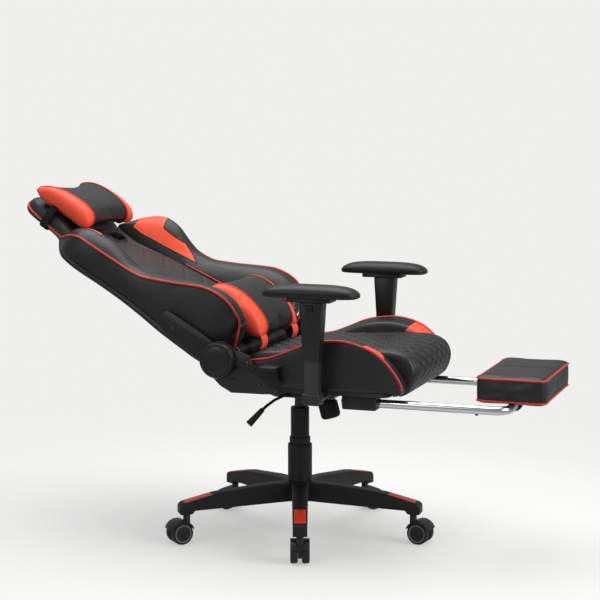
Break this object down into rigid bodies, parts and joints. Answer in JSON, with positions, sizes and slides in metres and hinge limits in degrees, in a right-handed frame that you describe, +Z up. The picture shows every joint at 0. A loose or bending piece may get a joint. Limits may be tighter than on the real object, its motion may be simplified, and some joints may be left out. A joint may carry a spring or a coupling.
{
  "type": "gaming chair",
  "caption": "Reclining racing-style chair with winged backrest, neck and lumbar pillows, height-adjustable arms and a sliding fold-under footrest on a caster base.",
  "frame": {"origin": "on the floor, at the middle of the chair's bounding box as parked (backrest reclined, footrest out)", "axes": "+Z up; the chair faces -Y, so +Y points from the foot pad to the headrest; the sitter's left hand is at +X"},
  "size_m": [0.7175, 1.4842, 0.9371],
  "materials": {
    "nylon": "black moulded nylon, fine texture",
    "wheel": "black nylon wheel with soft tread",
    "red_plastic": "red satin plastic",
    "black_steel": "black powder coat",
    "leather": "black synthetic leather over foam",
    "red_leather": "orange-red synthetic leather",
    "arm_foam": "soft black polyurethane",
    "frame_board": "black stained plywood",
    "chrome": "bright chromed tube"
  },
  "bodies": {
    "base": {"star_base": "nylon", "leg_cap_1": "red_plastic", "leg_cap_2": "red_plastic", "leg_cap_3": "red_plastic", "leg_cap_4": "red_plastic", "leg_cap_5": "red_plastic", "lift_cylinder": "black_steel", "cover_lower": "nylon"},
    "caster_1": {"caster_hood_1": "nylon"},
    "wheel_1a": {"caster_wheel_1a": "wheel"},
    "wheel_1b": {"caster_wheel_1b": "wheel"},
    "caster_2": {"caster_hood_2": "nylon"},
    "wheel_2a": {"caster_wheel_2a": "wheel"},
    "wheel_2b": {"caster_wheel_2b": "wheel"},
    "caster_3": {"caster_hood_3": "nylon"},
    "wheel_3a": {"caster_wheel_3a": "wheel"},
    "wheel_3b": {"caster_wheel_3b": "wheel"},
    "caster_4": {"caster_hood_4": "nylon"},
    "wheel_4a": {"caster_wheel_4a": "wheel"},
    "wheel_4b": {"caster_wheel_4b": "wheel"},
    "caster_5": {"caster_hood_5": "nylon"},
    "wheel_5a": {"caster_wheel_5a": "wheel"},
    "wheel_5b": {"caster_wheel_5b": "wheel"},
    "middle_cover": {"cover_middle": "nylon"},
    "lift": {"lift_piston": "black_steel", "cover_upper": "nylon"},
    "mechanism": {"mechanism_housing": "black_steel", "tension_spring": "black_steel"},
    "knob": {"tension_knob": "nylon"},
    "height_lever": {"height_lever": "nylon"},
    "seat": {"seat_plate": "black_steel", "seat_frame": "frame_board", "seat_cushion": "leather", "seat_bolster_right": "leather", "seat_bolster_left": "leather", "recliner_lower_right": "black_steel", "recliner_lower_left": "black_steel", "recliner_cap_right": "nylon", "recliner_cap_left": "nylon", "arm_bracket_right": "nylon", "arm_bracket_left": "nylon", "footrest_guide_right": "nylon", "footrest_guide_left": "nylon"},
    "back": {"back_shell": "leather", "back_cushion": "leather", "back_wing_right": "leather", "back_wing_left": "leather", "recliner_upper_right": "black_steel", "recliner_upper_left": "black_steel"},
    "head_pillow": {"head_pillow": "leather"},
    "lumbar_pillow": {"lumbar_pillow": "leather"},
    "recline_lever": {"recline_lever": "nylon"},
    "arm_right": {"arm_sleeve_right": "nylon", "arm_pad_right": "arm_foam"},
    "arm_button_right": {"arm_button_right": "nylon"},
    "arm_left": {"arm_sleeve_left": "nylon", "arm_pad_left": "arm_foam"},
    "arm_button_left": {"arm_button_left": "nylon"},
    "footrest": {"footrest_frame": "chrome"},
    "footrest_pad": {"footrest_pad": "leather"}
  },
  "joints": [
    {"name": "caster_swivel_1", "type": "hinge", "parent": "base", "child": "caster_1", "pos_m": [-0.2992, -0.14553, 0.07], "axis": [0, 0, 1], "continuous": true},
    {"name": "wheel_spin_1a", "type": "hinge", "parent": "caster_1", "child": "wheel_1a", "pos_m": [-0.27947, -0.13834, 0.02963], "axis": [-0.342, 0.9397, 0], "continuous": true},
    {"name": "wheel_spin_1b", "type": "hinge", "parent": "caster_1", "child": "wheel_1b", "pos_m": [-0.27947, -0.13834, 0.02963], "axis": [-0.342, 0.9397, 0], "continuous": true},
    {"name": "caster_swivel_2", "type": "hinge", "parent": "base", "child": "caster_2", "pos_m": [0.00999, -0.35565, 0.07], "axis": [0, 0, 1], "continuous": true},
    {"name": "wheel_spin_2a", "type": "hinge", "parent": "caster_2", "child": "wheel_2a", "pos_m": [0.0067, -0.37639, 0.02963], "axis": [0.9877, -0.1564, 0], "continuous": true},
    {"name": "wheel_spin_2b", "type": "hinge", "parent": "caster_2", "child": "wheel_2b", "pos_m": [0.0067, -0.37639, 0.02963], "axis": [0.9877, -0.1564, 0], "continuous": true},
    {"name": "caster_swivel_3", "type": "hinge", "parent": "base", "child": "caster_3", "pos_m": [0.30537, -0.12653, 0.07], "axis": [0, 0, 1], "continuous": true},
    {"name": "wheel_spin_3a", "type": "hinge", "parent": "caster_3", "child": "wheel_3a", "pos_m": [0.32146, -0.14003, 0.02963], "axis": [0.6428, 0.766, 0], "continuous": true},
    {"name": "wheel_spin_3b", "type": "hinge", "parent": "caster_3", "child": "wheel_3b", "pos_m": [0.32146, -0.14003, 0.02963], "axis": [0.6428, 0.766, 0], "continuous": true},
    {"name": "caster_swivel_4", "type": "hinge", "parent": "base", "child": "caster_4", "pos_m": [0.17874, 0.2252, 0.07], "axis": [0, 0, 1], "continuous": true},
    {"name": "wheel_spin_4a", "type": "hinge", "parent": "caster_4", "child": "wheel_4a", "pos_m": [0.18239, 0.24588, 0.02963], "axis": [-0.9848, 0.1736, 0], "continuous": true},
    {"name": "wheel_spin_4b", "type": "hinge", "parent": "caster_4", "child": "wheel_4b", "pos_m": [0.18239, 0.24588, 0.02963], "axis": [-0.9848, 0.1736, 0], "continuous": true},
    {"name": "caster_swivel_5", "type": "hinge", "parent": "base", "child": "caster_5", "pos_m": [-0.1949, 0.21346, 0.07], "axis": [0, 0, 1], "continuous": true},
    {"name": "wheel_spin_5a", "type": "hinge", "parent": "caster_5", "child": "wheel_5a", "pos_m": [-0.21075, 0.22724, 0.02963], "axis": [-0.6561, -0.7547, 0], "continuous": true},
    {"name": "wheel_spin_5b", "type": "hinge", "parent": "caster_5", "child": "wheel_5b", "pos_m": [-0.21075, 0.22724, 0.02963], "axis": [-0.6561, -0.7547, 0], "continuous": true},
    {"name": "lift_height", "type": "slide", "parent": "base", "child": "lift", "axis": [0, 0, 1], "range_m": [-0.08, 0.02]},
    {"name": "middle_cover_slide", "type": "slide", "parent": "base", "child": "middle_cover", "axis": [0, 0, 1], "range_m": [-0.041, 0.011]},
    {"name": "seat_swivel", "type": "hinge", "parent": "lift", "child": "mechanism", "pos_m": [0, -0.03781, 0.39], "axis": [0, 0, 1], "continuous": true},
    {"name": "tension_knob_turn", "type": "hinge", "parent": "mechanism", "child": "knob", "pos_m": [0, -0.12801, 0.324], "axis": [0, 0.2656, 0.9641], "range_deg": [-1080, 1080]},
    {"name": "height_lever_lift", "type": "hinge", "parent": "mechanism", "child": "height_lever", "pos_m": [-0.05, -0.02781, 0.393], "axis": [0, 1, 0], "range_deg": [0, 4], "stiffness_Nm_per_rad": 20, "springref_deg": -1.15},
    {"name": "rock_tilt", "type": "hinge", "parent": "mechanism", "child": "seat", "pos_m": [0, -0.07281, 0.405], "axis": [1, 0, 0], "range_deg": [-10, 0], "stiffness_Nm_per_rad": 600, "springref_deg": 11.46},
    {"name": "recline", "type": "hinge", "parent": "seat", "child": "back", "pos_m": [0, 0.08519, 0.512], "axis": [1, 0, 0], "range_deg": [-13, 50]},
    {"name": "recline_lever_lift", "type": "hinge", "parent": "seat", "child": "recline_lever", "pos_m": [-0.275, -0.00781, 0.492], "axis": [1, 0, 0], "range_deg": [-25, 0], "stiffness_Nm_per_rad": 1, "springref_deg": 17.19},
    {"name": "head_pillow_slide", "type": "slide", "parent": "back", "child": "head_pillow", "axis": [0, 0.8387, 0.5446], "range_m": [-0.03, 0.01]},
    {"name": "lumbar_pillow_slide", "type": "slide", "parent": "back", "child": "lumbar_pillow", "axis": [0, 0.8387, 0.5446], "range_m": [-0.02, 0.06]},
    {"name": "arm_height_right", "type": "slide", "parent": "seat", "child": "arm_right", "axis": [0, 0, 1], "range_m": [-0.07, 0]},
    {"name": "arm_button_press_right", "type": "slide", "parent": "arm_right", "child": "arm_button_right", "axis": [1, 0, 0], "range_m": [0, 0.003], "stiffness_N_per_m": 300, "springref_m": -0.001},
    {"name": "arm_height_left", "type": "slide", "parent": "seat", "child": "arm_left", "axis": [0, 0, 1], "range_m": [-0.07, 0]},
    {"name": "arm_button_press_left", "type": "slide", "parent": "arm_left", "child": "arm_button_left", "axis": [-1, 0, 0], "range_m": [0, 0.003], "stiffness_N_per_m": 300, "springref_m": -0.001},
    {"name": "footrest_slide", "type": "slide", "parent": "seat", "child": "footrest", "axis": [0, 1, 0], "range_m": [0, 0.23]},
    {"name": "footrest_pad_flip", "type": "hinge", "parent": "footrest", "child": "footrest_pad", "pos_m": [0, -0.64981, 0.4105], "axis": [1, 0, 0], "range_deg": [0, 180]}
  ],
  "couplings": [
    {"joint": "middle_cover_slide", "follows": "lift_height", "ratio": 0.5},
    {"joint": "lumbar_pillow_slide", "follows": "recline", "m_per_rad": 0.06},
    {"joint": "footrest_pad_flip", "follows": "footrest_slide", "rad_per_m": 13.659}
  ]
}
